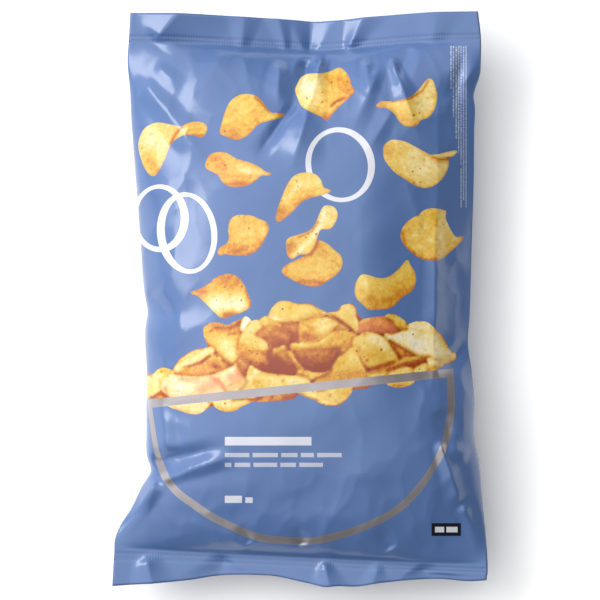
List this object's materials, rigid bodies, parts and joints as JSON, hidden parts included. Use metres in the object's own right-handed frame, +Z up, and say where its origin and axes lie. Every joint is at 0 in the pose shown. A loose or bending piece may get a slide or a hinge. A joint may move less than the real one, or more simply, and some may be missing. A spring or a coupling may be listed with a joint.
{
  "type": "bag of crisps",
  "caption": "Shut pillow bag of printed blue film full of crisps, sealed flat across both ends, lying on its back.",
  "frame": {"origin": "bottom centre of the whole bag's bounding box, on the table under its back", "axes": "+X across the bag to the right of its printed front, +Y along the bag towards the top seal, +Z up out of the printed front"},
  "size_m": [0.23, 0.3514, 0.072],
  "materials": {
    "film": "printed blue plastic film, satin with soft highlights along its folds"
  },
  "bodies": {
    "root": {"bag": "film"}
  },
  "joints": []
}
